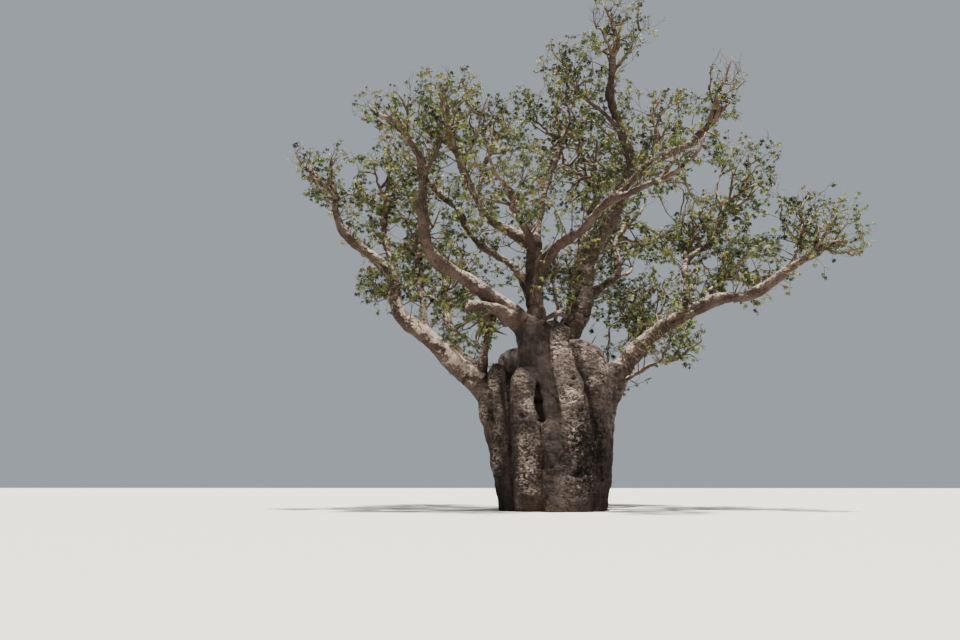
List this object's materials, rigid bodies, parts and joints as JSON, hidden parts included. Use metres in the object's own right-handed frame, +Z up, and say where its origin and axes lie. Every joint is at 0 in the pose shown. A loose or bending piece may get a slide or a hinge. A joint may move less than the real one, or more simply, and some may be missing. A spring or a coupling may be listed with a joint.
{
  "type": "boab tree",
  "caption": "Old boab, a bottle-trunked baobab tree, with a stout fluted trunk, crooked tapering boughs and open masses of foliage.",
  "frame": {"origin": "centre of the flat cut under the trunk, at ground level", "axes": "+Z up along the trunk; +X to the right and +Y away, as seen from the front"},
  "size_m": [14.7425, 10.1345, 14.6788],
  "materials": {
    "trunk_bark": "rough pitted bark, blotched pale cream and grey over brown",
    "bough_bark": "matt grey-brown bark, wrinkled at the joints, paler on top",
    "foliage": "soft matt olive and yellow-green leaves on thin grey twigs"
  },
  "bodies": {
    "root": {"trunk": "trunk_bark", "bough_back": "bough_bark", "bough_back_low_left": "bough_bark", "bough_back_low_right": "bough_bark", "bough_centre": "bough_bark", "bough_centre_front": "bough_bark", "bough_centre_left": "bough_bark", "bough_centre_left_fork": "bough_bark", "bough_centre_right": "bough_bark", "bough_centre_right_fork": "bough_bark", "bough_centre_right_low": "bough_bark", "bough_centre_up": "bough_bark", "bough_left_back": "bough_bark", "bough_left_droop": "bough_bark", "bough_left_inner": "bough_bark", "bough_left_low_1": "bough_bark", "bough_left_low_2": "bough_bark", "bough_left_mid_1": "bough_bark", "bough_left_mid_2": "bough_bark", "bough_left_mid_fork": "bough_bark", "bough_left_pale": "bough_bark", "bough_left_spur": "bough_bark", "bough_right_back": "bough_bark", "bough_right_droop": "bough_bark", "bough_right_low_1": "bough_bark", "bough_right_low_2": "bough_bark", "bough_right_riser": "bough_bark", "bough_right_riser_fork": "bough_bark", "bough_right_tip_fork": "bough_bark", "bough_right_top": "bough_bark", "bough_tall_1": "bough_bark", "bough_tall_2": "bough_bark", "bough_tall_side": "bough_bark", "leaves_back": "foliage", "leaves_back_low_left": "foliage", "leaves_back_low_right": "foliage", "leaves_centre_front": "foliage", "leaves_centre_left": "foliage", "leaves_centre_left_fork": "foliage", "leaves_centre_right": "foliage", "leaves_centre_right_fork": "foliage", "leaves_centre_right_low": "foliage", "leaves_centre_up": "foliage", "leaves_left_back": "foliage", "leaves_left_droop": "foliage", "leaves_left_inner": "foliage", "leaves_left_low": "foliage", "leaves_left_mid": "foliage", "leaves_left_mid_fork": "foliage", "leaves_left_pale": "foliage", "leaves_left_spur": "foliage", "leaves_right_back": "foliage", "leaves_right_droop": "foliage", "leaves_right_low": "foliage", "leaves_right_riser": "foliage", "leaves_right_riser_fork": "foliage", "leaves_right_tip_fork": "foliage", "leaves_right_top": "foliage", "leaves_tall": "foliage", "leaves_tall_side": "foliage"}
  },
  "joints": []
}
